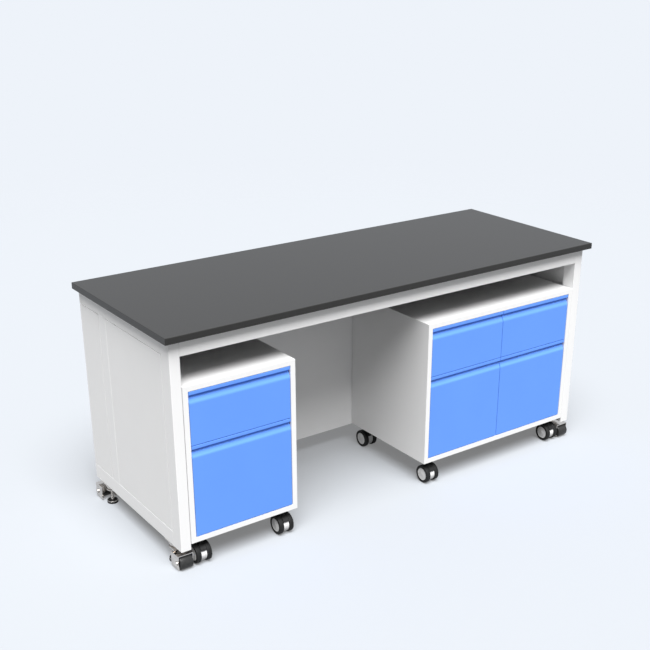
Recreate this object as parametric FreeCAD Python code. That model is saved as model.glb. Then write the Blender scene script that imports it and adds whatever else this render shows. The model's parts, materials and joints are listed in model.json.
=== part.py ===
import FreeCAD
import Part
import math
import os

# A laboratory workbench on levelling casters, with two rolling drawer pedestals under it.
# Millimetres. X runs along the bench, -Y is its front, Z is up and 0 is the floor.

# Worktop
worktop_length = 2000.0
worktop_depth = 750.0
worktop_thickness = 24.0
worktop_chamfer = 1.5
bench_height = 900.0

# Welded tube frame
tube_broad = 60.0
tube_slim = 40.0
tube_wall = 2.0
tube_corner = 2.0
side_overhang = 23.0
front_overhang = 26.0
back_overhang = 5.0
frame_floor_gap = 80.0
service_chase_depth = 123.0
kneehole_floor_gap = 98.0
end_plug_depth = 12.0

# Flush panels and the cleats behind them
end_panel_thickness = 18.0
kneehole_panel_thickness = 15.0
panel_seam = 2.0
cleat_width = 20.0
cleat_thickness = 3.0

# Brackets and fasteners of the frame
bracket_leg = 30.0
bracket_width = 26.0
bracket_thickness = 4.0
bolt_radius = 4.0
bolt_head_radius = 6.5
bolt_head_height = 5.3
bolt_reach = 10.0
bolt_place_share = 0.6
hold_down_shares = (-0.62, 0.0, 0.62)
screw_radius = 2.4
screw_head_radius = 4.6
screw_head_height = 2.2
screw_reach = 12.0

# Levelling casters of the bench
roller_radius = 27.0
roller_width = 51.0
roller_round = 4.0
roller_trail = 70.0
fork_wall = 3.0
fork_wing = 9.0
fork_side_gap = 2.0
fork_back_gap = 5.0
fork_nose = 14.0
fork_top_thickness = 3.0
fork_floor_gap = 5.0
fork_heel_radius = 20.0
fork_arch_radius = 26.0
fork_arch_height = 8.0
axle_radius = 4.0
axle_head_radius = 8.0
axle_head_height = 3.5
mount_plate_thickness = 4.0
mount_plate_length = 76.0
mount_screw_inset = 8.0
race_radius = 20.0
race_neck_radius = 16.0
race_rim_height = 4.0
race_height = 14.6
sleeve_radius = 8.0
sleeve_collar_radius = 11.0
sleeve_collar_height = 3.5
foot_rod_radius = 5.0
foot_pad_radius = 22.0
foot_pad_height = 6.0
foot_cup_base_radius = 20.0
foot_cup_rim_radius = 21.5
foot_cup_rim_height = 5.0
foot_cup_wall = 1.7
foot_cup_dish_height = 2.5
foot_cup_neck_radius = 7.0
foot_cup_height = 11.0
foot_rod_top_gap = 14.0
caster_front_setback = 120.0
caster_back_setback = 97.5

# Pedestal carcasses
pedestal_back_gap = 2.0
pedestal_top_gap = 111.0
pedestal_floor_gap = 102.0
pedestal_leg_gap = 2.0
narrow_pedestal_width = 452.0
wide_pedestal_width = 796.0
carcass_board = 20.0
carcass_back_board = 12.0

# Drawers and their runners
front_gap = 2.5
front_thickness = 20.0
top_front_height = 201.0
pull_lip_height = 12.0
pull_mouth_height = 31.0
pull_depth = 15.0
pull_round = 18.0
front_chamfer = 0.8
drawer_board = 12.0
drawer_bottom_board = 10.0
drawer_bottom_rise = 6.0
drawer_lift = 16.0
drawer_headroom = 12.0
drawer_back_gap = 28.0
runner_space = 13.0
runner_wall = 1.5
runner_bar_gap = 2.0
runner_flange_gap = 2.5
runner_height = 42.0
runner_rise = 22.0
runner_end_gap = 4.0

# Twin-wheel casters of the pedestals
twin_radius = 37.5
twin_wheel_width = 19.0
twin_track_gap = 24.0
twin_tyre_depth = 11.0
twin_tyre_round = 4.0
twin_hub_recess = 2.0
twin_hub_round = 1.5
twin_trail = 18.0
twin_side_inset = 49.0
twin_front_inset = 52.0
twin_back_inset = 63.0
twin_hood_inset = 0.7
twin_core_inset = 5.5
twin_hood_rise = 18.5
twin_boss_radius = 9.0
twin_axle_radius = 4.0
twin_axle_end_gap = 5.0
stem_radius = 5.0
stem_hood_gap = 2.0
stem_plate_size = 42.0
stem_plate_thickness = 3.0

# Fits
running_gap = 0.3
turning_gap = 0.4
side_gap = 0.6
seat_gap = 0.05
overrun = 5.0
tiny = 1e-6

# Places worked out from the sizes above
worktop_bottom = bench_height - worktop_thickness
bench_front = -worktop_depth / 2
frame_front = bench_front + front_overhang
frame_back = worktop_depth / 2 - back_overhang
frame_outer = worktop_length / 2 - side_overhang
frame_inner = frame_outer - tube_slim
rail_bottom = worktop_bottom - tube_broad
sill_top = frame_floor_gap + tube_broad
leg_back = frame_front + tube_broad
front_rail_back = frame_front + tube_slim
rear_rail_front = frame_back - tube_slim
post_back = rear_rail_front - service_chase_depth
post_front = post_back - tube_broad
mid_rail_front = post_back - tube_slim
kneehole_panel_front = mid_rail_front - kneehole_panel_thickness
pedestal_front = frame_front
pedestal_back = kneehole_panel_front - pedestal_back_gap
pedestal_bottom = pedestal_floor_gap
pedestal_top = rail_bottom - pedestal_top_gap
fork_plate_front = roller_trail + fork_nose
fork_plate_back = roller_trail - roller_radius - fork_back_gap
fork_inside = roller_width / 2 + fork_side_gap
fork_outside = fork_inside + fork_wall
mount_plate_bottom = frame_floor_gap - mount_plate_thickness
fork_top = mount_plate_bottom - race_height - turning_gap
fork_underside = fork_top - fork_top_thickness
X = FreeCAD.Vector(1, 0, 0)
Y = FreeCAD.Vector(0, 1, 0)
Z = FreeCAD.Vector(0, 0, 1)


def point(x, y, z):
    return FreeCAD.Vector(x, y, z)


def box(x_span, y_span, z_span):
    """A box between the two ends of each span."""
    (x0, x1), (y0, y1), (z0, z1) = sorted(x_span), sorted(y_span), sorted(z_span)
    return Part.makeBox(x1 - x0, y1 - y0, z1 - z0, point(x0, y0, z0))


def rod(radius, start, direction, length):
    return Part.makeCylinder(radius, length, start, direction)


def turned(profile, centre):
    """The solid that a profile of (radius, height) points makes about the vertical through centre."""
    outline = [centre + point(radius, 0, height) for radius, height in profile]
    return Part.Face(Part.makePolygon(outline + outline[:1])).revolve(centre, Z, 360)


def long_edges(solid, direction):
    """The straight edges of a solid that run along a direction."""
    found = []
    for edge in solid.Edges:
        if isinstance(edge.Curve, Part.Line) and edge.Curve.Direction.cross(direction).Length < tiny:
            found.append(edge)
    return found


def rim_edges(solid, radius):
    """The circular edges of a solid that have a given radius."""
    circles = [edge for edge in solid.Edges if isinstance(edge.Curve, Part.Circle)]
    return [edge for edge in circles if abs(edge.Curve.Radius - radius) < tiny]


def tube(x_span, y_span, z_span, direction):
    """An open-ended rectangular tube along one direction."""
    outer = box(x_span, y_span, z_span)
    outer = outer.makeFillet(tube_corner, long_edges(outer, direction))
    spans = []
    for span, along in zip((x_span, y_span, z_span), (direction.x, direction.y, direction.z)):
        inset = -overrun if along else tube_wall
        spans.append((min(span) + inset, max(span) - inset))
    return outer.cut(box(*spans))


def drilled(solid, holes):
    """The solid with every hole cut that reaches it."""
    for hole in holes:
        if solid.BoundBox.intersect(hole.BoundBox):
            solid = solid.cut(hole)
    return solid


def save(name, solids):
    Part.makeCompound(solids).exportStep("parts/%s.step" % name)


def mirrored(solid):
    return solid.mirror(point(0, 0, 0), X)


# Frame fasteners. Each is (place under the head, direction of the shank).
def bolt(place, direction):
    head = rod(bolt_head_radius, place, -direction, bolt_head_height)
    shank = rod(bolt_radius, place, direction, bracket_thickness + bolt_reach)
    return head.fuse(shank)


def bolt_hole(place, direction):
    length = bracket_thickness + bolt_reach + overrun
    return rod(bolt_radius + running_gap, place - direction * overrun, direction, length)


def screw(place, direction, length):
    head = rod(screw_head_radius, place, -direction, screw_head_height)
    return head.fuse(rod(screw_radius, place, direction, length))


def screw_hole(place, direction, length):
    hole_length = length + overrun + running_gap
    return rod(screw_radius + running_gap, place - direction * overrun, direction, hole_length)


# Each rail end: (face that its bracket lies on, which way the bracket points, height of the bracket)
top_bracket_height = (rail_bottom + worktop_bottom) / 2
mid_sill_bracket_height = (kneehole_floor_gap + sill_top) / 2
rear_sill_bracket_height = (frame_floor_gap + sill_top) / 2
rail_ends = [
    (front_rail_back, 1, top_bracket_height),
    (post_back, 1, top_bracket_height),
    (post_back, 1, mid_sill_bracket_height),
    (rear_rail_front, -1, top_bracket_height),
    (rear_rail_front, -1, rear_sill_bracket_height),
]
bolt_offset = bracket_leg * bolt_place_share


def corner_bracket(face, way, height):
    """An angle in the left corner between a rail and an end frame."""
    z_span = (height - bracket_width / 2, height + bracket_width / 2)
    on_rail = box((-frame_inner, bracket_leg - frame_inner), (face, face + way * bracket_thickness), z_span)
    on_frame = box((-frame_inner, bracket_thickness - frame_inner), (face, face + way * bracket_leg), z_span)
    return on_rail.fuse(on_frame).removeSplitter()


def corner_bolts(face, way, height):
    """The two bolts of a left corner bracket, each as (place, direction)."""
    through_rail = (point(bolt_offset - frame_inner, face + way * bracket_thickness, height), Y * -way)
    through_frame = (point(bracket_thickness - frame_inner, face + way * bolt_offset, height), -X)
    return [through_rail, through_frame]


# Hold-down angles of the worktop: (x, face of the rail, which way the angle points)
hold_downs = []
for share in hold_down_shares:
    hold_downs.append((share * frame_inner, front_rail_back, 1))
    hold_downs.append((share * frame_inner, rear_rail_front, -1))


def hold_down(x, face, way):
    x_span = (x - bracket_width / 2, x + bracket_width / 2)
    top = worktop_bottom
    upright = box(x_span, (face, face + way * bracket_thickness), (top - bracket_leg, top))
    flat = box(x_span, (face, face + way * bracket_leg), (top - bracket_thickness, top))
    return upright.fuse(flat).removeSplitter()


def hold_down_screw_place(x, face, way):
    return point(x, face + way * bolt_offset, worktop_bottom - bracket_thickness)


# Swivel centres of the bench casters: name, place on the floor, turn from wheel-forward
caster_x = frame_outer - tube_slim / 2
caster_front_y = bench_front + caster_front_setback
caster_back_y = worktop_depth / 2 - caster_back_setback
bench_casters = [
    ("front_left", point(-caster_x, caster_front_y, 0), 0),
    ("front_right", point(caster_x, caster_front_y, 0), 0),
    ("rear_left", point(-caster_x, caster_back_y, 0), 180),
    ("rear_right", point(caster_x, caster_back_y, 0), 180),
]
mount_screw_reach = mount_plate_length / 2 - mount_screw_inset
mount_screw_places = []
for name, centre, turn in bench_casters:
    for way in (-1, 1):
        mount_screw_places.append(centre + point(0, way * mount_screw_reach, mount_plate_bottom))
mount_screw_length = mount_plate_thickness + screw_reach

# Every fastener of the frame, and the hole that each needs
bolt_places = []
for rail_end in rail_ends:
    bolt_places += corner_bolts(*rail_end)
bolts = [bolt(*place) for place in bolt_places]
bolts += [mirrored(solid) for solid in bolts]
bolt_holes = [bolt_hole(*place) for place in bolt_places]
bolt_holes += [mirrored(solid) for solid in bolt_holes]
hold_down_screw_length = bracket_thickness + screw_reach
hold_down_places = [hold_down_screw_place(*place) for place in hold_downs]
screws = [screw(place, Z, hold_down_screw_length) for place in hold_down_places]
screws += [screw(place, Z, mount_screw_length) for place in mount_screw_places]
screw_holes = [screw_hole(place, Z, hold_down_screw_length) for place in hold_down_places]
screw_holes += [screw_hole(place, Z, mount_screw_length) for place in mount_screw_places]
frame_holes = bolt_holes + screw_holes


# Bench: worktop, frame, panels
def worktop():
    slab = box(
        (-worktop_length / 2, worktop_length / 2),
        (-worktop_depth / 2, worktop_depth / 2),
        (worktop_bottom, bench_height),
    )
    top_rim = [edge for edge in slab.Edges if edge.BoundBox.ZMin > worktop_bottom]
    return drilled(slab.makeChamfer(worktop_chamfer, top_rim), frame_holes)


def end_frame_left():
    """Front leg, mid post, top rail and bottom rail of the left end."""
    x_span = (-frame_outer, -frame_inner)
    members = [
        tube(x_span, (frame_front, leg_back), (frame_floor_gap, worktop_bottom), Z),
        tube(x_span, (post_front, post_back), (sill_top, rail_bottom), Z),
        tube(x_span, (leg_back, frame_back), (rail_bottom, worktop_bottom), Y),
        tube(x_span, (leg_back, frame_back), (frame_floor_gap, sill_top), Y),
    ]
    return [drilled(member, frame_holes) for member in members]


def end_plugs_left():
    """Plugs that close the open tube ends: the foot of the leg and the back of both rails."""
    inset = tube_wall + seat_gap
    x_span = (inset - frame_outer, -frame_inner - inset)
    leg_span = (frame_front + inset, leg_back - inset)
    plugs = [box(x_span, leg_span, (frame_floor_gap, frame_floor_gap + end_plug_depth))]
    for bottom in (rail_bottom, frame_floor_gap):
        z_span = (bottom + inset, bottom + tube_broad - inset)
        plugs.append(box(x_span, (frame_back - end_plug_depth, frame_back), z_span))
    return plugs


def cross_rail(y_span, z_span):
    return drilled(tube((-frame_inner, frame_inner), y_span, z_span, X), frame_holes)


def end_panel(y_span):
    """A panel flush with the outer face of the left end frame."""
    x_span = (-frame_outer, end_panel_thickness - frame_outer)
    return box(x_span, y_span, (sill_top + panel_seam, rail_bottom - panel_seam))


def end_panels_left():
    return [
        end_panel((leg_back + panel_seam, post_front - panel_seam)),
        end_panel((post_back + panel_seam, frame_back)),
    ]


def panel_cleats_left():
    """Strips on the rails that the end panels seat on."""
    x_span = (end_panel_thickness - frame_outer, end_panel_thickness + cleat_thickness - frame_outer)
    cleats = []
    for y_span in ((leg_back, post_front), (post_back, frame_back)):
        cleats.append(box(x_span, y_span, (sill_top, sill_top + cleat_width)))
        cleats.append(box(x_span, y_span, (rail_bottom - cleat_width, rail_bottom)))
    return cleats


def kneehole_panel():
    return box(
        (-frame_inner, frame_inner),
        (kneehole_panel_front, mid_rail_front),
        (kneehole_floor_gap, worktop_bottom),
    )


def build_bench():
    save("worktop", [worktop()])
    left = end_frame_left()
    save("end_frame_left", left)
    save("end_frame_right", [mirrored(solid) for solid in left])
    save("front_rail", [cross_rail((frame_front, front_rail_back), (rail_bottom, worktop_bottom))])
    kneehole_rail_depth = (mid_rail_front, post_back)
    kneehole_sill = (kneehole_floor_gap, kneehole_floor_gap + tube_broad)
    kneehole_heights = ((rail_bottom, worktop_bottom), kneehole_sill)
    save("kneehole_rails", [cross_rail(kneehole_rail_depth, z_span) for z_span in kneehole_heights])
    rear_rail_depth = (rear_rail_front, frame_back)
    rear_heights = ((rail_bottom, worktop_bottom), (frame_floor_gap, sill_top))
    save("rear_rails", [cross_rail(rear_rail_depth, z_span) for z_span in rear_heights])
    plugs = end_plugs_left()
    save("tube_end_plugs", plugs + [mirrored(solid) for solid in plugs])
    panels = end_panels_left()
    save("end_panels", panels + [mirrored(solid) for solid in panels])
    cleats = panel_cleats_left()
    save("panel_cleats", cleats + [mirrored(solid) for solid in cleats])
    save("kneehole_panel", [kneehole_panel()])
    brackets = [drilled(corner_bracket(*rail_end), bolt_holes) for rail_end in rail_ends]
    brackets += [mirrored(solid) for solid in brackets]
    brackets += [drilled(hold_down(*place), screw_holes) for place in hold_downs]
    save("frame_brackets", brackets)
    save("frame_fasteners", bolts + screws)
    save("caster_mount_plates", [mount_plate(centre) for name, centre, turn in bench_casters])


# Bench casters
def mount_plate(centre):
    """Fixed plate with the swivel race and the threaded sleeve of the levelling foot."""
    plate = box(
        (-tube_slim / 2, tube_slim / 2),
        (-mount_plate_length / 2, mount_plate_length / 2),
        (mount_plate_bottom, frame_floor_gap),
    )
    plate.translate(centre)
    collar_top = fork_underside - turning_gap
    collar_bottom = collar_top - sleeve_collar_height
    bore = foot_rod_radius + running_gap
    sleeve = turned(
        [
            (bore, frame_floor_gap),
            (sleeve_radius, frame_floor_gap),
            (sleeve_radius, mount_plate_bottom),
            (race_radius, mount_plate_bottom),
            (race_radius, mount_plate_bottom - race_rim_height),
            (race_neck_radius, mount_plate_bottom - race_height),
            (sleeve_radius, mount_plate_bottom - race_height),
            (sleeve_radius, collar_top),
            (sleeve_collar_radius, collar_top),
            (sleeve_collar_radius, collar_bottom),
            (bore, collar_bottom),
        ],
        centre,
    )
    plate = plate.cut(rod(sleeve_radius, centre, Z, frame_floor_gap + overrun))
    return drilled(plate.fuse(sleeve).removeSplitter(), screw_holes)


def fork_shell():
    """Folded fork about a swivel at the origin, its wheel towards -Y."""
    top_span = (fork_underside, fork_top)
    top = box((-fork_outside, fork_outside), (-fork_plate_front, -fork_plate_back), top_span)
    heel = rod(fork_heel_radius, point(0, 0, fork_underside), Z, fork_top_thickness)
    arm = box((-fork_heel_radius, fork_heel_radius), (-fork_plate_back, 0), top_span)
    shell = top.fuse([heel, arm])
    side_depth = (-fork_plate_front, fork_wing - fork_plate_back)
    side_height = (fork_floor_gap, fork_top)
    for side in (-1, 1):
        shell = shell.fuse(box((side * fork_inside, side * fork_outside), side_depth, side_height))
    wall_front = -fork_plate_back - fork_wall
    wall = box((-fork_outside, fork_outside), (wall_front, -fork_plate_back), side_height)
    arch_start = point(0, wall_front - overrun, fork_arch_height)
    arch = rod(fork_arch_radius, arch_start, Y, fork_wall + 2 * overrun)
    arch_depth = (wall_front - overrun, overrun - fork_plate_back)
    under_arch = box((-fork_arch_radius, fork_arch_radius), arch_depth, (0, fork_arch_height))
    shell = shell.fuse(wall.cut(arch).cut(under_arch)).removeSplitter()
    shell = shell.cut(rod(sleeve_radius + running_gap, point(0, 0, 0), Z, frame_floor_gap))
    axle_start = point(-fork_outside - overrun, -roller_trail, roller_radius)
    return shell.cut(rod(axle_radius + seat_gap, axle_start, X, 2 * (fork_outside + overrun)))


def fork_axle():
    """Axle bolt with a head at each end."""
    middle = point(-fork_outside, -roller_trail, roller_radius)
    shaft = rod(axle_radius, middle, X, 2 * fork_outside)
    left_head = rod(axle_head_radius, middle, -X, axle_head_height)
    right_head = rod(axle_head_radius, middle + X * 2 * fork_outside, X, axle_head_height)
    return shaft.fuse([left_head, right_head])


def roller():
    start = point(-roller_width / 2, -roller_trail, roller_radius)
    barrel = rod(roller_radius, start, X, roller_width)
    barrel = barrel.makeFillet(roller_round, rim_edges(barrel, roller_radius))
    return barrel.cut(rod(axle_radius + running_gap, start - X * overrun, X, roller_width + 2 * overrun))


def foot():
    """Threaded rod, dished cup and pad of a levelling foot."""
    origin = point(0, 0, 0)
    rim_top = foot_pad_height + foot_cup_rim_height
    cup_top = foot_pad_height + foot_cup_height
    pad = rod(foot_pad_radius, origin, Z, foot_pad_height)
    cup = turned(
        [
            (0, foot_pad_height),
            (foot_cup_base_radius, foot_pad_height),
            (foot_cup_rim_radius, rim_top),
            (foot_cup_rim_radius - foot_cup_wall, rim_top),
            (foot_cup_neck_radius, foot_pad_height + foot_cup_dish_height),
            (foot_cup_neck_radius, cup_top),
            (0, cup_top),
        ],
        origin,
    )
    rod_length = frame_floor_gap - foot_rod_top_gap - cup_top
    return [pad, cup, rod(foot_rod_radius, point(0, 0, cup_top), Z, rod_length)]


def placed(solid, centre, turn):
    """A copy turned about the vertical at the origin, then moved to centre."""
    copy = solid.copy()
    copy.rotate(point(0, 0, 0), Z, turn)
    copy.translate(centre)
    return copy


def build_bench_casters():
    for name, centre, turn in bench_casters:
        pieces = {
            "fork": [fork_shell(), fork_axle()],
            "roller": [roller()],
            "foot": foot(),
        }
        for piece, solids in pieces.items():
            save("bench_caster_%s_%s" % (name, piece), [placed(solid, centre, turn) for solid in solids])


# Twin-wheel casters, about a stem at the origin with the wheels towards -Y
twin_inside = twin_track_gap / 2
twin_outside = twin_inside + twin_wheel_width
axle_half_length = twin_outside - twin_axle_end_gap
hood_half_width = twin_inside - side_gap
hood_top = pedestal_bottom - stem_plate_thickness - turning_gap
hood_radius = twin_radius - twin_hood_inset
core_radius = twin_radius - twin_core_inset
hood_edge = twin_radius + twin_hood_rise
stem_bottom = hood_edge + stem_hood_gap
twin_axle = point(0, -twin_trail, twin_radius)


def disc_slice(radius, z_span):
    """The part of a disc between the wheels that lies in a span of heights."""
    disc = rod(radius, twin_axle - X * hood_half_width, X, 2 * hood_half_width)
    depth = (-twin_trail - twin_radius, twin_radius - twin_trail)
    return disc.common(box((-hood_half_width, hood_half_width), depth, z_span))


def twin_hood():
    """Hood with its stem boss, and the core under it."""
    boss = rod(twin_boss_radius, point(0, 0, hood_edge), Z, hood_top - hood_edge)
    hood = disc_slice(hood_radius, (hood_edge, hood_top)).fuse(boss)
    stem_bore_bottom = point(0, 0, stem_bottom - turning_gap)
    stem_bore = rod(stem_radius + running_gap, stem_bore_bottom, Z, pedestal_bottom)
    axle_bore = rod(twin_axle_radius + running_gap, twin_axle - X * twin_outside, X, 2 * twin_outside)
    return [hood.cut(stem_bore), disc_slice(core_radius, (0, hood_edge)).cut(axle_bore)]


def twin_wheel(side):
    """Tyre and hub disc of one wheel, on the side of the given sign."""
    inner_face = twin_axle + X * side * twin_inside
    hub_radius = twin_radius - twin_tyre_depth
    tyre = rod(twin_radius, inner_face, X * side, twin_wheel_width)
    tyre = tyre.makeFillet(twin_tyre_round, rim_edges(tyre, twin_radius))
    hub_seat_start = inner_face - X * side * overrun
    tyre = tyre.cut(rod(hub_radius, hub_seat_start, X * side, twin_wheel_width + 2 * overrun))
    disc_radius = hub_radius - seat_gap
    hub = rod(disc_radius, inner_face, X * side, twin_wheel_width - twin_hub_recess)
    outer_rim = [e for e in rim_edges(hub, disc_radius) if abs(e.CenterOfMass.x - inner_face.x) > side_gap]
    hub = hub.makeFillet(twin_hub_round, outer_rim)
    axle_seat = rod(twin_axle_radius + seat_gap, twin_axle, X * side, axle_half_length + seat_gap)
    return [tyre, hub.cut(axle_seat)]


def twin_wheels():
    axle = rod(twin_axle_radius, twin_axle - X * axle_half_length, X, 2 * axle_half_length)
    return twin_wheel(-1) + twin_wheel(1) + [axle]


def stem(centre):
    """Plate under the pedestal, and the pin below it that the caster turns on."""
    half = stem_plate_size / 2
    plate_bottom = pedestal_bottom - stem_plate_thickness
    plate = box((-half, half), (-half, half), (plate_bottom, pedestal_bottom))
    pin = rod(stem_radius, point(0, 0, stem_bottom), Z, plate_bottom - stem_bottom)
    return [placed(solid, centre, 0) for solid in (plate, pin)]


def twin_casters(left, right):
    """Name, place and turn of the four casters of a pedestal."""
    spots = []
    for end, y, turn in (
        ("front", pedestal_front + twin_front_inset, 0),
        ("rear", pedestal_back - twin_back_inset, 180),
    ):
        spots.append((end + "_left", point(left + twin_side_inset, y, 0), turn))
        spots.append((end + "_right", point(right - twin_side_inset, y, 0), turn))
    return spots


# Pedestals
inside_top = pedestal_top - carcass_board
inside_bottom = pedestal_bottom + carcass_board
inside_back = pedestal_back - carcass_back_board
front_back_face = pedestal_front + front_thickness
fronts_top = inside_top - front_gap
fronts_bottom = inside_bottom + front_gap
top_front_bottom = fronts_top - top_front_height
drawer_back = inside_back - drawer_back_gap
runner_bar_thickness = runner_space - runner_wall - runner_bar_gap
runner_channel_width = runner_space - runner_flange_gap


def carcass(left, right):
    """Two sides with the top and bottom boards between them."""
    y_span = (pedestal_front, pedestal_back)
    z_span = (pedestal_bottom, pedestal_top)
    between = (left + carcass_board, right - carcass_board)
    return [
        box((left, left + carcass_board), y_span, z_span),
        box((right - carcass_board, right), y_span, z_span),
        box(between, y_span, (inside_top, pedestal_top)),
        box(between, y_span, (pedestal_bottom, inside_bottom)),
    ]


def column_walls(left, right, count):
    """The clear span of each drawer column, between the sides and any dividers."""
    clear = right - left - 2 * carcass_board - (count - 1) * carcass_board
    width = clear / count
    starts = [left + carcass_board + n * (width + carcass_board) for n in range(count)]
    return [(start, start + width) for start in starts]


def front_spans(left, right, count):
    """The width of each drawer front, with a gap on both sides."""
    start = left + carcass_board + front_gap
    width = (right - carcass_board - start - front_gap * count) / count
    starts = [start + n * (width + front_gap) for n in range(count)]
    return [(left_edge, left_edge + width) for left_edge in starts]


def drawer_front(x_span, z_span):
    """A front with a finger pull along its top: a lip, and a slope that runs in under the lip."""
    x0, x1 = x_span
    bottom, top = z_span
    lip_bottom = top - pull_lip_height
    slope = math.atan2(pull_depth, pull_mouth_height)
    bend_bottom = lip_bottom - pull_mouth_height - pull_round * math.tan(slope / 2)

    def on_bend(angle):
        depth = pull_round * (1 - math.cos(angle))
        return point(x0, pedestal_front + depth, bend_bottom + pull_round * math.sin(angle))

    corners = [
        on_bend(slope),
        point(x0, pedestal_front + pull_depth, lip_bottom),
        point(x0, pedestal_front, lip_bottom),
        point(x0, pedestal_front, top),
        point(x0, front_back_face, top),
        point(x0, front_back_face, bottom),
        point(x0, pedestal_front, bottom),
        on_bend(0),
    ]
    bend = Part.Arc(on_bend(0), on_bend(slope / 2), on_bend(slope)).toShape()
    outline = Part.Wire([Part.makePolygon(corners), bend])
    front = Part.Face(outline).extrude(X * (x1 - x0))
    face_edges = [edge for edge in front.Edges if edge.BoundBox.YMax < pedestal_front + tiny]
    sharp_edges = [edge for edge in face_edges if abs(edge.CenterOfMass.z - bend_bottom) > tiny]
    return front.makeChamfer(front_chamfer, sharp_edges)


def drawer_box(x_span, z_span):
    """Sides, inner front, back and bottom of a drawer, with a runner bar on each side."""
    x0, x1 = x_span
    y0, y1 = front_back_face, drawer_back
    bottom = z_span[0]
    between = (x0 + drawer_board, x1 - drawer_board)
    floor = bottom + drawer_bottom_rise
    boards = [
        box((x0, x0 + drawer_board), (y0, y1), z_span),
        box((x1 - drawer_board, x1), (y0, y1), z_span),
        box(between, (y0, y0 + drawer_board), z_span),
        box(between, (y1 - drawer_board, y1), z_span),
        box(between, (y0 + drawer_board, y1 - drawer_board), (floor, floor + drawer_bottom_board)),
    ]
    z_bar = bar_span(bottom)
    boards.append(box((x0 - runner_bar_thickness, x0), (y0 + runner_end_gap, y1), z_bar))
    boards.append(box((x1, x1 + runner_bar_thickness), (y0 + runner_end_gap, y1), z_bar))
    return boards


def bar_span(drawer_bottom):
    """Height of the drawer's runner bar, inside the cabinet's runner channel."""
    inset = runner_wall + turning_gap
    return (drawer_bottom + runner_rise + inset, drawer_bottom + runner_rise + runner_height - inset)


def runner_channel(wall_x, way, drawer_bottom):
    """Cabinet-side channel on a wall, open towards the drawer."""
    y0, y1 = front_back_face + runner_end_gap, drawer_back
    z0 = drawer_bottom + runner_rise
    z1 = z0 + runner_height
    channel = box((wall_x, wall_x + way * runner_channel_width), (y0, y1), (z0, z1))
    hollow = box(
        (wall_x + way * runner_wall, wall_x + way * (runner_channel_width + overrun)),
        (y0 - overrun, y1 + overrun),
        (z0 + runner_wall, z1 - runner_wall),
    )
    return channel.cut(hollow)


def build_pedestal(side, left, width, columns):
    right = left + width
    save("%s_pedestal_carcass" % side, carcass(left, right))
    back_span = (left + carcass_board, right - carcass_board)
    back_board = box(back_span, (inside_back, pedestal_back), (inside_bottom, inside_top))
    save("%s_pedestal_back" % side, [back_board])
    walls = column_walls(left, right, columns)
    fronts = front_spans(left, right, columns)
    casters = twin_casters(left, right)
    fittings = []
    for name, centre, turn in casters:
        fittings += stem(centre)
    rows = [
        ("top", (top_front_bottom, fronts_top)),
        ("deep", (fronts_bottom, top_front_bottom - front_gap)),
    ]
    pull_height = pull_lip_height + pull_mouth_height
    for column, (wall, front) in enumerate(zip(walls, fronts), start=1):
        suffix = "_%d" % column if columns > 1 else ""
        box_span = (wall[0] + runner_space, wall[1] - runner_space)
        for row, (front_bottom, front_top) in rows:
            bottom = front_bottom + drawer_lift
            node = "%s_%s_drawer%s" % (side, row, suffix)
            save(node + "_front", [drawer_front(front, (front_bottom, front_top))])
            save(node + "_box", drawer_box(box_span, (bottom, front_top - pull_height - drawer_headroom)))
            fittings.append(runner_channel(wall[0], 1, bottom))
            fittings.append(runner_channel(wall[1], -1, bottom))
        if column > 1:
            divider = (wall[0] - carcass_board, wall[0])
            y_span = (front_back_face + front_gap, inside_back)
            save("%s_pedestal_divider" % side, [box(divider, y_span, (inside_bottom, inside_top))])
    save("%s_pedestal_fittings" % side, fittings)
    for name, centre, turn in casters:
        save("%s_caster_%s_hood" % (side, name), [placed(solid, centre, turn) for solid in twin_hood()])
        save("%s_caster_%s_wheels" % (side, name), [placed(solid, centre, turn) for solid in twin_wheels()])


os.makedirs("parts", exist_ok=True)
build_bench()
build_bench_casters()
build_pedestal("left", pedestal_leg_gap - frame_inner, narrow_pedestal_width, 1)
build_pedestal("right", frame_inner - pedestal_leg_gap - wide_pedestal_width, wide_pedestal_width, 2)
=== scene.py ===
import bmesh
import bpy
import json
import math
from mathutils import Matrix, Vector


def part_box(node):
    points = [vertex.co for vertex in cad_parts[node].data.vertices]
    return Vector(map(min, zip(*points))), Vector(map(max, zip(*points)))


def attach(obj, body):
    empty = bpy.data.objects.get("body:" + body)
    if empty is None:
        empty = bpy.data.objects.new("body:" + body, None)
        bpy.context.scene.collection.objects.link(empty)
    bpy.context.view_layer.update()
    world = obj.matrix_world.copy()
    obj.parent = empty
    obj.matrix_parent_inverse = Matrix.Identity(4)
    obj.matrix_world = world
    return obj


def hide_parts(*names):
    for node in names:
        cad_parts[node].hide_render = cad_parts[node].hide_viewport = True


# A laboratory workbench in a pale studio: finishes for its solids, and finer casters, wheels and feet.
# Metres, in the part's own frame: X runs along the bench, -Y is its front, Z is up and 0 is the floor.

# Camera, in degrees and in Blender's millimetres of lens and sensor
camera_place = (-2.4455, -3.3368, 2.0995)
camera_azimuth = -35.555
camera_elevation = 23.573
camera_lens = 59.657
camera_sensor = 36.0
camera_shift_share = (-0.0149, 0.1175)

# Studio. The lamp has a compass direction that it shines from, a height and a spread, in degrees.
backdrop_colour = (0.855, 0.896, 0.956)
backdrop_strength = 1.0
floor_colour = (0.389, 0.413, 0.446)
floor_glow_colour = (0.85, 0.85, 0.85)
floor_bounce = (0.15, 0.15, 0.15)
floor_glow_share = 0.2
floor_radius = 7.0
floor_fade_share = 0.45
floor_steps = 96
dome_colour = (1.0, 1.0, 1.0)
dome_strength = 0.33
key_azimuth = -27.0
key_elevation = 65.0
key_spread = 45.0
key_strength = 6.6

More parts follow.
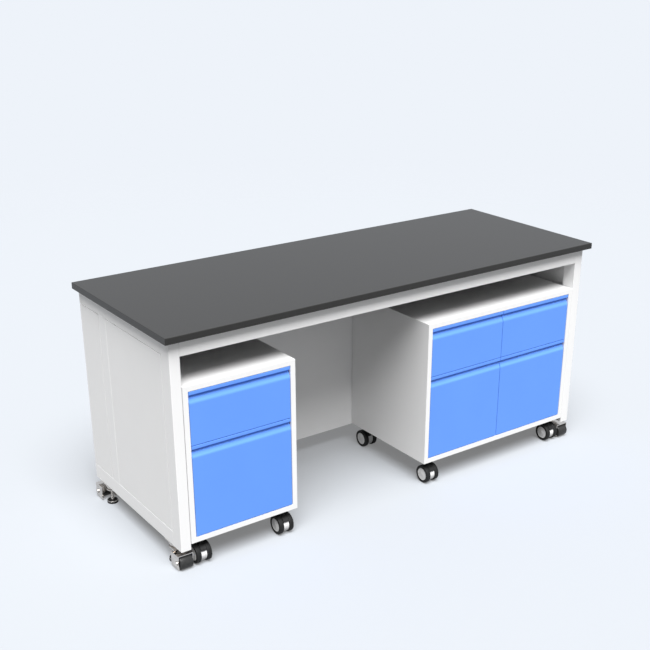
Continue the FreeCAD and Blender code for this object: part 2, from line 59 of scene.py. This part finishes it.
# Softened edges of the solids
board_edge_radius = 0.0007
sheet_edge_radius = 0.0005
edge_segments = 2
weld_distance = 0.00001
crease_angle = math.radians(35)
quarter_turn = math.radians(90)

# Round pieces
round_steps = 64
small_round_steps = 32
hexagon_steps = 6
corner_steps = 4

# Levelling feet
pad_edge = 0.0009
pad_groove = 0.0006
cup_edge = 0.0006
cup_base_radius = 0.0200
cup_rim_radius = 0.0215
cup_rim_height = 0.0050
cup_wall = 0.0017
cup_dish_radius = 0.0105
cup_dish_height = 0.0024
cup_neck_radius = 0.0070
cup_height = 0.0110
pad_height = 0.0060
neck_nut_across = 0.0130
neck_nut_height = 0.0060
thread_crest_radius = 0.0051
thread_root_radius = 0.0043
thread_pitch = 0.0020
thread_steps = 16
thread_crest_share = 0.3
hex_chamfer = 0.0007

# Rollers and axle hardware of the bench casters
roller_bore = 0.0043
roller_edge = 0.0040
roller_hub_radius = 0.0100
roller_web_radius = 0.0200
roller_web_depth = 0.0012
roller_crown = 0.0003
axle_cap_radius = 0.0086
axle_cap_height = 0.0040
axle_cap_edge = 0.0004
axle_seat = 0.0305

# Twin wheels
tyre_width = 0.0190
tyre_inner_share = 0.7067
tyre_edge = 0.0040
tread_groove_depth = 0.0008
tread_groove_width = 0.0010
tread_shares = (0.36, 0.64)
track_half = 0.0120
hub_recess = 0.0020
hub_dome = 0.0012
hub_rim_width = 0.0022
hub_rim_drop = 0.0008
hub_cap_radius = 0.0062
hub_cap_rise = 0.0004
hub_edge = 0.0008
hub_back_depth = 0.0060

# Caster covers between the wheels
cover_half_width = 0.0114
cover_inset = 0.0007
cover_wall = 0.0042
cover_first_angle = 30.0
cover_turn = 120.0
full_turn = 360.0
cover_steps = 40
cover_edge = 0.0007
boss_radius = 0.0090
boss_collar_radius = 0.0105
boss_collar_height = 0.0030
boss_top = 0.0986
boss_start_share = 0.55
core_inset = 0.0055
core_groove_inset = 0.0068
core_extra_angle = 8.0
core_slab_shares = (0.30, 0.05, 0.30, 0.05, 0.30)

# Runners on the drawer boxes
runner_bar_thickness = 0.0095

# Finishes. A grain is the size of a pattern's features, and a depth is how far a bump rises.
pattern_low_share = 0.3
pattern_high_share = 0.7
plain_detail = 4.0
fine_detail = 6.0
worktop_dark = (0.0155, 0.0146, 0.0132)
worktop_light = (0.0195, 0.0186, 0.0172)
worktop_roughness = (0.39, 0.43)
worktop_specular = 0.33
worktop_speckle_grain = 0.0022
worktop_gloss_grain = 0.0040
worktop_peel_grain = 0.0011
worktop_peel_depth = 0.00006
worktop_peel_strength = 0.25
white_tone_share = 0.985
white_gloss_shares = (0.92, 1.08)
white_tone_grain = 0.16
white_gloss_grain = 0.03
white_peel_strength = 0.3
powder_colour = (0.88, 0.88, 0.88)
powder_roughness = 0.42
powder_grain = 0.0014
powder_depth = 0.00005
board_colour = (0.88, 0.88, 0.88)
board_roughness = 0.5
board_grain = 0.0008
board_depth = 0.00003
drawer_colour = (0.80, 0.80, 0.795)
drawer_roughness = 0.52
drawer_grain = 0.0009
drawer_depth = 0.00003
moulded_colour = (0.82, 0.82, 0.82)
moulded_roughness = 0.38
moulded_grain = 0.0006
moulded_depth = 0.00002
blue_dark = (0.131, 0.321, 0.905)
blue_light = (0.137, 0.333, 0.925)
blue_roughness = (0.46, 0.52)
blue_specular = 0.3
blue_tone_grain = 0.2
blue_gloss_grain = 0.04
blue_peel_grain = 0.0012
blue_peel_depth = 0.00004
blue_peel_strength = 0.25
chrome_dark = (0.51, 0.482, 0.455)
chrome_light = (0.61, 0.578, 0.545)
chrome_roughness = (0.08, 0.16)
chrome_tone_grain = 0.02
chrome_smear_grain = 0.012
chrome_wave_grain = 0.0040
chrome_wave_depth = 0.00004
zinc_dark = (0.50, 0.51, 0.52)
zinc_light = (0.62, 0.63, 0.64)
zinc_roughness = (0.32, 0.46)
zinc_spangle_grain = 0.0060
zinc_bump_grain = 0.0020
zinc_bump_depth = 0.00003
metal_bump_strength = 0.2
moulding_gloss_shares = (0.9, 1.1)
moulding_specular = 0.25
moulding_tone_grain = 0.01
moulding_gloss_grain = 0.0060
moulding_bump_strength = 0.35
plastic_tones = (0.011, 0.015)
plastic_roughness = 0.45
plastic_grain = 0.0007
plastic_depth = 0.00004
rubber_tones = (0.009, 0.013)
rubber_roughness = 0.6
rubber_grain = 0.0009
rubber_depth = 0.00006
nylon_tones = (0.022, 0.032)
nylon_roughness = 0.36
nylon_grain = 0.0008
nylon_depth = 0.00003
hub_dark = (0.74, 0.74, 0.74)
hub_light = (0.79, 0.79, 0.79)
hub_roughness = (0.46, 0.54)
hub_tone_grain = 0.012
hub_gloss_grain = 0.0080
hub_bump_grain = 0.0006
hub_bump_depth = 0.00002
hub_bump_strength = 0.25

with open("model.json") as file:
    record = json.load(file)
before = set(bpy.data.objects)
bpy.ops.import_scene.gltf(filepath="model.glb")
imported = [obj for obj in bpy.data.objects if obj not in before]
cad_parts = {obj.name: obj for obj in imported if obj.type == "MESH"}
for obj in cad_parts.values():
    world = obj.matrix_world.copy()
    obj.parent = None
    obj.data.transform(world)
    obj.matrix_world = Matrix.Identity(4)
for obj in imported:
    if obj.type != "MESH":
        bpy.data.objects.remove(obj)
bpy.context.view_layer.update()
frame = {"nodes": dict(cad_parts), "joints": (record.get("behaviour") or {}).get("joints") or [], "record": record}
nodes = frame["nodes"]
joint_places = {joint["name"]: joint.get("pos_m") for joint in frame["joints"]}


# Materials
def new_material(name):
    """A material, its node tree and its surface shader."""
    material = bpy.data.materials.new(name)
    material.use_nodes = True
    tree = material.node_tree
    return material, tree, tree.nodes["Principled BSDF"]


def noise(tree, grain_size, detail=plain_detail):
    """Noise with features of a given size, in the piece's own frame."""
    place = tree.nodes.new("ShaderNodeTexCoord")
    texture = tree.nodes.new("ShaderNodeTexNoise")
    texture.inputs["Scale"].default_value = 1.0 / grain_size
    texture.inputs["Detail"].default_value = detail
    tree.links.new(place.outputs["Object"], texture.inputs["Vector"])
    return texture.outputs["Fac"]


def cells(tree, cell_size):
    """A random value for each cell of a crystal-like pattern."""
    place = tree.nodes.new("ShaderNodeTexCoord")
    texture = tree.nodes.new("ShaderNodeTexVoronoi")
    texture.inputs["Scale"].default_value = 1.0 / cell_size
    tree.links.new(place.outputs["Object"], texture.inputs["Vector"])
    grey = tree.nodes.new("ShaderNodeSeparateColor")
    tree.links.new(texture.outputs["Color"], grey.inputs["Color"])
    return grey.outputs["Red"]


def vary_colour(tree, surface, pattern, low, high):
    """Lets the surface colour run from low to high with a pattern."""
    ramp = tree.nodes.new("ShaderNodeValToRGB")
    first, last = ramp.color_ramp.elements
    first.position = pattern_low_share
    last.position = pattern_high_share
    first.color = (*low, 1.0)
    last.color = (*high, 1.0)
    tree.links.new(pattern, ramp.inputs["Fac"])
    tree.links.new(ramp.outputs["Color"], surface.inputs["Base Color"])


def vary_roughness(tree, surface, pattern, low, high):
    """Lets the roughness run from low to high with a pattern."""
    span = tree.nodes.new("ShaderNodeMapRange")
    span.inputs["From Min"].default_value = pattern_low_share
    span.inputs["From Max"].default_value = pattern_high_share
    span.inputs["To Min"].default_value = low
    span.inputs["To Max"].default_value = high
    tree.links.new(pattern, span.inputs["Value"])
    tree.links.new(span.outputs["Result"], surface.inputs["Roughness"])


def add_bump(tree, surface, pattern, depth, strength):
    """Raises the surface by a pattern."""
    bump = tree.nodes.new("ShaderNodeBump")
    bump.inputs["Distance"].default_value = depth
    bump.inputs["Strength"].default_value = strength
    tree.links.new(pattern, bump.inputs["Height"])
    tree.links.new(bump.outputs["Normal"], surface.inputs["Normal"])


def worktop_resin():
    """Satin dark grey slab with a fine speckle."""
    material, tree, surface = new_material("worktop_resin")
    speckle = noise(tree, worktop_speckle_grain, detail=fine_detail)
    vary_colour(tree, surface, speckle, worktop_dark, worktop_light)
    vary_roughness(tree, surface, noise(tree, worktop_gloss_grain), *worktop_roughness)
    surface.inputs["Specular IOR Level"].default_value = worktop_specular
    add_bump(tree, surface, noise(tree, worktop_peel_grain), worktop_peel_depth, worktop_peel_strength)
    return material


def white_coat(name, tone, roughness, grain_size, depth):
    """A white finish with a slight tone change and a fine peel."""
    material, tree, surface = new_material(name)
    low = tuple(value * white_tone_share for value in tone)
    vary_colour(tree, surface, noise(tree, white_tone_grain), low, tone)
    gloss_span = (roughness * share for share in white_gloss_shares)
    vary_roughness(tree, surface, noise(tree, white_gloss_grain), *gloss_span)
    add_bump(tree, surface, noise(tree, grain_size), depth, white_peel_strength)
    return material


def powder_coat():
    return white_coat("powder_coat", powder_colour, powder_roughness, powder_grain, powder_depth)


def faced_board():
    return white_coat("faced_board", board_colour, board_roughness, board_grain, board_depth)


def drawer_board():
    return white_coat("drawer_board", drawer_colour, drawer_roughness, drawer_grain, drawer_depth)


def moulded_white():
    return white_coat("moulded_white", moulded_colour, moulded_roughness, moulded_grain, moulded_depth)


def blue_lacquer():
    """Satin blue lacquer with a slight peel."""
    material, tree, surface = new_material("blue_lacquer")
    vary_colour(tree, surface, noise(tree, blue_tone_grain), blue_dark, blue_light)
    vary_roughness(tree, surface, noise(tree, blue_gloss_grain), *blue_roughness)
    surface.inputs["Specular IOR Level"].default_value = blue_specular
    add_bump(tree, surface, noise(tree, blue_peel_grain), blue_peel_depth, blue_peel_strength)
    return material


def chrome_plate():
    """Bright plate with faint smears."""
    material, tree, surface = new_material("chrome_plate")
    surface.inputs["Metallic"].default_value = 1.0
    vary_colour(tree, surface, noise(tree, chrome_tone_grain), chrome_dark, chrome_light)
    vary_roughness(tree, surface, noise(tree, chrome_smear_grain), *chrome_roughness)
    add_bump(tree, surface, noise(tree, chrome_wave_grain), chrome_wave_depth, metal_bump_strength)
    return material


def zinc_plate():
    """Dull zinc with a spangle."""
    material, tree, surface = new_material("zinc_plate")
    surface.inputs["Metallic"].default_value = 1.0
    spangle = cells(tree, zinc_spangle_grain)
    vary_colour(tree, surface, spangle, zinc_dark, zinc_light)
    vary_roughness(tree, surface, spangle, *zinc_roughness)
    add_bump(tree, surface, noise(tree, zinc_bump_grain), zinc_bump_depth, metal_bump_strength)
    return material


def dark_moulding(name, tones, roughness, grain_size, depth):
    """A black moulded finish with a fine texture."""
    material, tree, surface = new_material(name)
    low, high = ((tone, tone, tone) for tone in tones)
    vary_colour(tree, surface, noise(tree, moulding_tone_grain), low, high)
    gloss_span = (roughness * share for share in moulding_gloss_shares)
    vary_roughness(tree, surface, noise(tree, moulding_gloss_grain), *gloss_span)
    surface.inputs["Specular IOR Level"].default_value = moulding_specular
    add_bump(tree, surface, noise(tree, grain_size), depth, moulding_bump_strength)
    return material


def caster_plastic():
    return dark_moulding("caster_plastic", plastic_tones, plastic_roughness, plastic_grain, plastic_depth)


def tyre_rubber():
    return dark_moulding("tyre_rubber", rubber_tones, rubber_roughness, rubber_grain, rubber_depth)


def roller_nylon():
    return dark_moulding("roller_nylon", nylon_tones, nylon_roughness, nylon_grain, nylon_depth)


def hub_plastic():
    """Pale grey satin plastic."""
    material, tree, surface = new_material("hub_plastic")
    vary_colour(tree, surface, noise(tree, hub_tone_grain), hub_dark, hub_light)
    vary_roughness(tree, surface, noise(tree, hub_gloss_grain), *hub_roughness)
    add_bump(tree, surface, noise(tree, hub_bump_grain), hub_bump_depth, hub_bump_strength)
    return material


finishes = {
    "worktop_resin": worktop_resin(),
    "frame_white": powder_coat(),
    "panel_white": faced_board(),
    "drawer_white": drawer_board(),
    "plug_white": moulded_white(),
    "front_blue": blue_lacquer(),
    "zinc_steel": zinc_plate(),
    "chrome": chrome_plate(),
    "roller_black": roller_nylon(),
    "caster_black": caster_plastic(),
    "tyre_black": tyre_rubber(),
    "hub_grey": hub_plastic(),
}
finishes["carcass_white"] = finishes["panel_white"]
sheet_slots = ("zinc_steel", "chrome")
welded_slots = ("frame_white",)


# Solids
def soften(solid, radius):
    """Rounds the sharp edges of a solid."""
    weld = solid.modifiers.new("weld", "WELD")
    weld.merge_threshold = weld_distance
    bevel = solid.modifiers.new("soft_edges", "BEVEL")
    bevel.width = radius
    bevel.segments = edge_segments
    bevel.limit_method = "ANGLE"
    bevel.angle_limit = crease_angle
    bevel.harden_normals = True


def paint(solid, material):
    """Gives every face of a solid one material."""
    solid.data.materials.clear()
    solid.data.materials.append(material)
    for face in solid.data.polygons:
        face.material_index = 0


def paint_runner_bars(node):
    """Gives the bars on both sides of a drawer box the runner's finish."""
    solid = nodes[node]
    low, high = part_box(node)
    solid.data.materials.append(finishes["zinc_steel"])
    for face in solid.data.polygons:
        inside = min(face.center.x - low.x, high.x - face.center.x)
        if inside < runner_bar_thickness - weld_distance:
            face.material_index = 1


def dress_solids():
    for row in frame["record"]["subparts"]:
        solid = nodes[row["node"]]
        slot = row["material_slot"]
        paint(solid, finishes[slot])
        if slot not in welded_slots:
            soften(solid, sheet_edge_radius if slot in sheet_slots else board_edge_radius)
        if row["node"].endswith("_box"):
            paint_runner_bars(row["node"])


# Pieces
def rounded(corners, closed):
    """The points of an outline of (x, y, corner radius) corners, with each corner rounded."""
    points = []
    last = len(corners) - 1
    for number, (x, y, radius) in enumerate(corners):
        here = Vector((x, y))
        at_end = number in (0, last) and not closed
        if at_end or not radius:
            points.append(here)
            continue
        before = (Vector(corners[number - 1][:2]) - here).normalized()
        after = (Vector(corners[(number + 1) % len(corners)][:2]) - here).normalized()
        half = before.angle(after) / 2
        centre = here + (before + after).normalized() * (radius / math.sin(half))
        start = here + before * (radius / math.tan(half)) - centre
        stop = here + after * (radius / math.tan(half)) - centre
        for step in range(corner_steps + 1):
            points.append(centre + start.slerp(stop, step / corner_steps).normalized() * radius)
    return points


def add_turned(mesh, profile, place, closed=False, steps=round_steps, paint_index=0):
    """Adds what a profile of (radius, height) points sweeps about Z, then moves it by a matrix."""
    loops = []
    for radius, height in profile:
        loop = []
        for step in range(steps if radius else 1):
            turn = 2 * math.pi * step / steps
            spot = Vector((radius * math.cos(turn), radius * math.sin(turn), height))
            loop.append(mesh.verts.new(place @ spot))
        loops.append(loop)
    following = loops[1:] + loops[:1] if closed else loops[1:]
    for low, high in zip(loops, following):
        for step in range(steps):
            after = step + 1
            lower = [low[step % len(low)], low[after % len(low)]]
            upper = [high[after % len(high)], high[step % len(high)]]
            corners = list(dict.fromkeys(lower + upper))
            if len(corners) > 2:
                mesh.faces.new(corners).material_index = paint_index


def add_prism(mesh, outline, x_span, place):
    """Adds what an outline of (y, z) points sweeps across a span of X, then moves it by a matrix."""
    rims = []
    for x in x_span:
        rims.append([mesh.verts.new(place @ Vector((x, y, z))) for y, z in outline])
    count = len(outline)
    mesh.faces.new(rims[0])
    mesh.faces.new(rims[1])
    for number in range(count):
        after = (number + 1) % count
        mesh.faces.new((rims[0][number], rims[0][after], rims[1][after], rims[1][number]))


def add_hexagon(mesh, across, height, place):
    """Adds a hexagon head with chamfered rims."""
    corner = across / math.sqrt(3)
    inset = corner - hex_chamfer
    profile = [
        (0, 0),
        (inset, 0),
        (corner, hex_chamfer),
        (corner, height - hex_chamfer),
        (inset, height),
        (0, height),
    ]
    add_turned(mesh, profile, place, steps=hexagon_steps)


def finish_piece(name, mesh, materials, body):
    """Makes an object of a mesh that rides a body."""
    bmesh.ops.recalc_face_normals(mesh, faces=mesh.faces)
    data = bpy.data.meshes.new(name)
    mesh.to_mesh(data)
    mesh.free()
    for material in materials:
        data.materials.append(material)
    data.shade_smooth()
    data.set_sharp_from_angle(angle=crease_angle)
    piece = bpy.data.objects.new(name, data)
    bpy.context.scene.collection.objects.link(piece)
    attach(piece, body)
    return piece


def along_x(centre, side):
    """Places a turned piece so that its height runs along X, to the side of the given sign."""
    return Matrix.Translation(centre) @ Matrix.Rotation(quarter_turn * side, 4, "Y")


# Levelling feet
def add_thread(mesh, centre, bottom, top):
    """Adds a screw thread on a plain core."""
    core = [(0, bottom), (thread_root_radius, bottom), (thread_root_radius, top), (0, top)]
    add_turned(mesh, core, Matrix.Translation(centre), steps=small_round_steps)
    turns = int((top - bottom) / thread_pitch) - 1
    flank = (1 - thread_crest_share) / 2
    shape = [(thread_root_radius, 0), (thread_crest_radius, flank), (thread_crest_radius, 1 - flank)]
    lines = []
    for radius, rise in shape:
        line = []
        for step in range(turns * thread_steps + 1):
            turn = 2 * math.pi * step / thread_steps
            height = bottom + thread_pitch * (step / thread_steps + rise)
            spot = Vector((radius * math.cos(turn), radius * math.sin(turn), height))
            line.append(mesh.verts.new(centre + spot))
        lines.append(line)
    root, crest_low, crest_high = lines
    strips = [(root, crest_low), (crest_low, crest_high), (crest_high[:-thread_steps], root[thread_steps:])]
    for lower, upper in strips:
        for step in range(len(lower) - 1):
            mesh.faces.new((lower[step], lower[step + 1], upper[step + 1], upper[step]))


def levelling_foot(base):
    """Rubber pad, pressed cup, wrench flats and threaded rod."""
    node = base + "_foot"
    low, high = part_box(node)
    centre = Vector(((low.x + high.x) / 2, (low.y + high.y) / 2, low.z))
    place = Matrix.Translation(centre)
    radius = (high.x - low.x) / 2
    mesh = bmesh.new()
    groove = radius - pad_groove
    rim_top = pad_height + cup_rim_height
    dish_bottom = pad_height + cup_dish_height
    neck_top = pad_height + cup_height
    pad = [
        (0, 0, 0),
        (radius, 0, pad_edge),
        (radius, pad_height / 2 - pad_groove, 0),
        (groove, pad_height / 2, 0),
        (radius, pad_height / 2 + pad_groove, 0),
        (radius, pad_height, pad_edge),
        (0, pad_height, 0),
    ]
    add_turned(mesh, rounded(pad, False), place, paint_index=1)
    cup = [
        (0, pad_height, 0),
        (cup_base_radius, pad_height, 0),
        (cup_rim_radius, rim_top, cup_edge),
        (cup_rim_radius - cup_wall, rim_top, 0),
    ]
    add_turned(mesh, rounded(cup, False), place)
    # The cup's inner dish takes the black rubber finish: a painted dark reflection, standing in for the dark
    # surroundings that the chrome dish reflects.
    dish = [
        (cup_rim_radius - cup_wall, rim_top, 0),
        (cup_dish_radius, dish_bottom, cup_edge),
        (cup_neck_radius, dish_bottom, 0),
    ]
    add_turned(mesh, rounded(dish, False), place, paint_index=1)
    neck = [
        (cup_neck_radius, dish_bottom, 0),
        (cup_neck_radius, neck_top, cup_edge),
        (0, neck_top, 0),
    ]
    add_turned(mesh, rounded(neck, False), place)
    bmesh.ops.remove_doubles(mesh, verts=mesh.verts, dist=weld_distance)
    nut_seat = centre + Vector((0, 0, neck_top))
    add_hexagon(mesh, neck_nut_across, neck_nut_height, Matrix.Translation(nut_seat))
    add_thread(mesh, centre, neck_top, high.z - low.z)
    # The black rubber finish covers the pad and also, as a painted dark reflection, the cup's inner dish.
    materials = [finishes["chrome"], finishes["tyre_black"]]
    piece = finish_piece(base + "_levelling_foot", mesh, materials, node)
    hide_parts(node)


# Rollers and axle hardware
def barrel_roller(base):
    """Barrel with a slight crown and recessed ends."""
    node = base + "_roller"
    low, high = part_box(node)
    centre = (low + high) / 2
    width = high.x - low.x
    radius = (high.z - low.z) / 2
    edge = radius - roller_crown
    profile = [
        (roller_bore, 0, 0),
        (roller_hub_radius, 0, 0),
        (roller_hub_radius, roller_web_depth, 0),
        (roller_web_radius, roller_web_depth, 0),
        (roller_web_radius, 0, 0),
        (edge, 0, roller_edge),
        (radius, width / 2, 0),
        (edge, width, roller_edge),
        (roller_web_radius, width, 0),
        (roller_web_radius, width - roller_web_depth, 0),
        (roller_hub_radius, width - roller_web_depth, 0),
        (roller_hub_radius, width, 0),
        (roller_bore, width, 0),
    ]
    mesh = bmesh.new()
    place = along_x(centre - Vector((width / 2, 0, 0)), 1)
    add_turned(mesh, rounded(profile, True), place, closed=True)
    piece = finish_piece(base + "_barrel", mesh, [finishes["roller_black"]], node)
    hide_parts(node)


def axle_caps(base):
    """Rounded caps over both ends of an axle."""
    centre = Vector(joint_places[base + "_roll"])
    cap = [
        (0, 0, 0),
        (axle_cap_radius, 0, 0),
        (axle_cap_radius, axle_cap_height, axle_cap_edge),
        (0, axle_cap_height, 0),
    ]
    mesh = bmesh.new()
    for side in (-1, 1):
        place = along_x(centre + Vector((side * axle_seat, 0, 0)), side)
        add_turned(mesh, rounded(cap, False), place, steps=small_round_steps)
    finish_piece(base + "_axle_caps", mesh, [finishes["chrome"]], base + "_fork")


def build_bench_casters():
    for end in ("front", "rear"):
        for hand in ("left", "right"):
            base = "bench_caster_%s_%s" % (end, hand)
            levelling_foot(base)
            barrel_roller(base)
            axle_caps(base)


# Twin-wheel casters
def tyre_profile(radius):
    """Section of a tyre with fine tread grooves, from its inner face outwards."""
    inner = radius * tyre_inner_share
    corners = [(inner, 0, 0), (radius, 0, tyre_edge)]
    for share in tread_shares:
        middle = tyre_width * share
        corners.append((radius, middle - tread_groove_width / 2, 0))
        corners.append((radius - tread_groove_depth, middle, 0))
        corners.append((radius, middle + tread_groove_width / 2, 0))
    corners += [(radius, tyre_width, tyre_edge), (inner, tyre_width, 0)]
    return rounded(corners, True)


def hub_profile(radius):
    """Section of a domed hub disc with a stepped rim and a small cap."""
    face = tyre_width - hub_recess
    rim = radius * tyre_inner_share
    corners = [
        (0, hub_back_depth, 0),
        (rim, hub_back_depth, 0),
        (rim, face, hub_edge),
        (rim - hub_rim_width, face, 0),
        (rim - hub_rim_width, face - hub_rim_drop, 0),
        (rim - 2 * hub_rim_width, face - hub_rim_drop, hub_edge),
        (hub_cap_radius, face - hub_rim_drop + hub_dome, 0),
        (hub_cap_radius, face - hub_rim_drop + hub_dome + hub_cap_rise, hub_edge),
        (0, face - hub_rim_drop + hub_dome + hub_cap_rise, 0),
    ]
    return rounded(corners, False)


def twin_wheels(base):
    """Two tyres with their hub discs."""
    node = base + "_wheels"
    centre = Vector(joint_places[base + "_roll"])
    radius = centre.z
    tyres, hubs = bmesh.new(), bmesh.new()
    for side in (-1, 1):
        place = along_x(centre + Vector((side * track_half, 0, 0)), side)
        add_turned(tyres, tyre_profile(radius), place, closed=True)
        add_turned(hubs, hub_profile(radius), place)
    piece = finish_piece(base + "_tyres", tyres, [finishes["tyre_black"]], node)
    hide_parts(node)
    finish_piece(base + "_hubs", hubs, [finishes["hub_grey"]], node)


def arc(radius, first, last):
    """Points of an arc about the axle, in degrees up from the front."""
    points = []
    for step in range(cover_steps + 1):
        angle = math.radians(first + (last - first) * step / cover_steps)
        points.append((-radius * math.cos(angle), radius * math.sin(angle)))
    return points


def caster_cover(base, body):
    """Arched cover with its stem boss, over a white core."""
    swivel = Vector(joint_places[base + "_swivel"])
    axle = Vector(joint_places[base + "_roll"])
    turn = 0 if axle.y < swivel.y else math.pi
    place = Matrix.Translation(axle) @ Matrix.Rotation(turn, 4, "Z")
    radius = axle.z
    last_angle = cover_first_angle + cover_turn
    outer = arc(radius - cover_inset, cover_first_angle, last_angle)
    inner = arc(radius - cover_inset - cover_wall, last_angle, cover_first_angle)
    mesh = bmesh.new()
    add_prism(mesh, outer + inner, (-cover_half_width, cover_half_width), place)
    bmesh.ops.remove_doubles(mesh, verts=mesh.verts, dist=weld_distance)
    boss_bottom = radius + radius * boss_start_share
    collar_bottom = boss_top - boss_collar_height
    boss = [
        (0, boss_bottom, 0),
        (boss_radius, boss_bottom, 0),
        (boss_radius, collar_bottom, 0),
        (boss_collar_radius, collar_bottom, cover_edge),
        (boss_collar_radius, boss_top, cover_edge),
        (0, boss_top, 0),
    ]
    stem = Vector((swivel.x, swivel.y, 0))
    add_turned(mesh, rounded(boss, False), Matrix.Translation(stem), steps=small_round_steps)
    cover = finish_piece(base + "_cover", mesh, [finishes["caster_black"]], body)
    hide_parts(base + "_hood")
    core_last_angle = full_turn + cover_first_angle + core_extra_angle
    mesh = bmesh.new()
    left = -cover_half_width
    for number, share in enumerate(core_slab_shares):
        right = left + 2 * cover_half_width * share
        inset = core_groove_inset if number % 2 else core_inset
        outline = arc(radius - inset, last_angle - core_extra_angle, core_last_angle)
        add_prism(mesh, outline, (left, right), place)
        left = right
    finish_piece(base + "_core", mesh, [finishes["plug_white"]], body)


def build_twin_casters():
    for pedestal in ("left", "right"):
        for end in ("front", "rear"):
            for hand in ("left", "right"):
                base = "%s_caster_%s_%s" % (pedestal, end, hand)
                twin_wheels(base)
                caster_cover(base, base + "_hood")


# Studio
def seen_as_backdrop(tree):
    """A value of 1 for what the camera sees, directly or in metal and glass."""
    path = tree.nodes.new("ShaderNodeLightPath")
    seen = path.outputs["Is Camera Ray"]
    for kind in ("Is Glossy Ray", "Is Transmission Ray"):
        either = tree.nodes.new("ShaderNodeMath")
        either.operation = "MAXIMUM"
        tree.links.new(seen, either.inputs[0])
        tree.links.new(path.outputs[kind], either.inputs[1])
        seen = either.outputs["Value"]
    return seen


def mixed(tree, share, first, second):
    """A shader that goes from the first to the second as share goes from 0 to 1."""
    mix = tree.nodes.new("ShaderNodeMixShader")
    tree.links.new(share, mix.inputs["Fac"])
    tree.links.new(first, mix.inputs[1])
    tree.links.new(second, mix.inputs[2])
    return mix.outputs["Shader"]


def matt(tree, colour):
    surface = tree.nodes.new("ShaderNodeBsdfDiffuse")
    surface.inputs["Color"].default_value = (*colour, 1.0)
    return surface.outputs["BSDF"]


def floor_material():
    """A pale matt floor that fades into the backdrop and gives back little light."""
    material, tree, surface = new_material("floor")
    tree.nodes.remove(surface)
    glow = tree.nodes.new("ShaderNodeEmission")
    glow.inputs["Color"].default_value = (*floor_glow_colour, 1.0)
    lit = tree.nodes.new("ShaderNodeMixShader")
    lit.inputs["Fac"].default_value = floor_glow_share
    tree.links.new(matt(tree, floor_colour), lit.inputs[1])
    tree.links.new(glow.outputs["Emission"], lit.inputs[2])
    tone = mixed(tree, seen_as_backdrop(tree), matt(tree, floor_bounce), lit.outputs["Shader"])
    place = tree.nodes.new("ShaderNodeTexCoord")
    distance = tree.nodes.new("ShaderNodeVectorMath")
    distance.operation = "LENGTH"
    tree.links.new(place.outputs["Object"], distance.inputs[0])
    fade = tree.nodes.new("ShaderNodeMapRange")
    fade.interpolation_type = "SMOOTHSTEP"
    fade.inputs["From Min"].default_value = floor_radius * floor_fade_share
    fade.inputs["From Max"].default_value = floor_radius
    tree.links.new(distance.outputs["Value"], fade.inputs["Value"])
    clear = tree.nodes.new("ShaderNodeBsdfTransparent")
    faded = mixed(tree, fade.outputs["Result"], tone, clear.outputs["BSDF"])
    tree.links.new(faded, tree.nodes["Material Output"].inputs["Surface"])
    return material


def pale_floor():
    mesh = bmesh.new()
    bmesh.ops.create_circle(mesh, cap_ends=True, segments=floor_steps, radius=floor_radius)
    data = bpy.data.meshes.new("floor")
    mesh.to_mesh(data)
    mesh.free()
    data.materials.append(floor_material())
    floor = bpy.data.objects.new("floor", data)
    bpy.context.scene.collection.objects.link(floor)


def pale_world():
    """A soft dome of light, seen as a pale backdrop."""
    world = bpy.data.worlds.new("studio")
    bpy.context.scene.world = world
    world.use_nodes = True
    tree = world.node_tree
    dome = tree.nodes["Background"]
    dome.inputs["Color"].default_value = (*dome_colour, 1.0)
    dome.inputs["Strength"].default_value = dome_strength
    backdrop = tree.nodes.new("ShaderNodeBackground")
    backdrop.inputs["Color"].default_value = (*backdrop_colour, 1.0)
    backdrop.inputs["Strength"].default_value = backdrop_strength
    light = mixed(tree, seen_as_backdrop(tree), dome.outputs["Background"], backdrop.outputs["Background"])
    tree.links.new(light, tree.nodes["World Output"].inputs["Surface"])


def facing(azimuth, elevation):
    """Unit vector from the object towards a compass direction and height. Azimuth 0 is the bench's front."""
    turn = math.radians(azimuth)
    rise = math.radians(elevation)
    return Vector((math.sin(turn) * math.cos(rise), -math.cos(turn) * math.cos(rise), math.sin(rise)))


def lamp(name, azimuth, elevation, spread, strength):
    light = bpy.data.lights.new(name, "SUN")
    light.energy = strength
    light.angle = math.radians(spread)
    holder = bpy.data.objects.new(name, light)
    holder.rotation_mode = "QUATERNION"
    holder.rotation_quaternion = facing(azimuth, elevation).to_track_quat("Z", "Y")
    bpy.context.scene.collection.objects.link(holder)


def photo_camera():
    data = bpy.data.cameras.new("camera")
    data.sensor_width = camera_sensor
    data.lens = camera_lens
    data.shift_x, data.shift_y = camera_shift_share
    camera = bpy.data.objects.new("camera", data)
    camera.location = camera_place
    camera.rotation_mode = "QUATERNION"
    camera.rotation_quaternion = facing(camera_azimuth, camera_elevation).to_track_quat("Z", "Y")
    bpy.context.scene.collection.objects.link(camera)
    bpy.context.scene.camera = camera


dress_solids()
build_bench_casters()
build_twin_casters()
pale_floor()
pale_world()
lamp("key", key_azimuth, key_elevation, key_spread, key_strength)
photo_camera()
bpy.context.scene.view_settings.view_transform = "Standard"
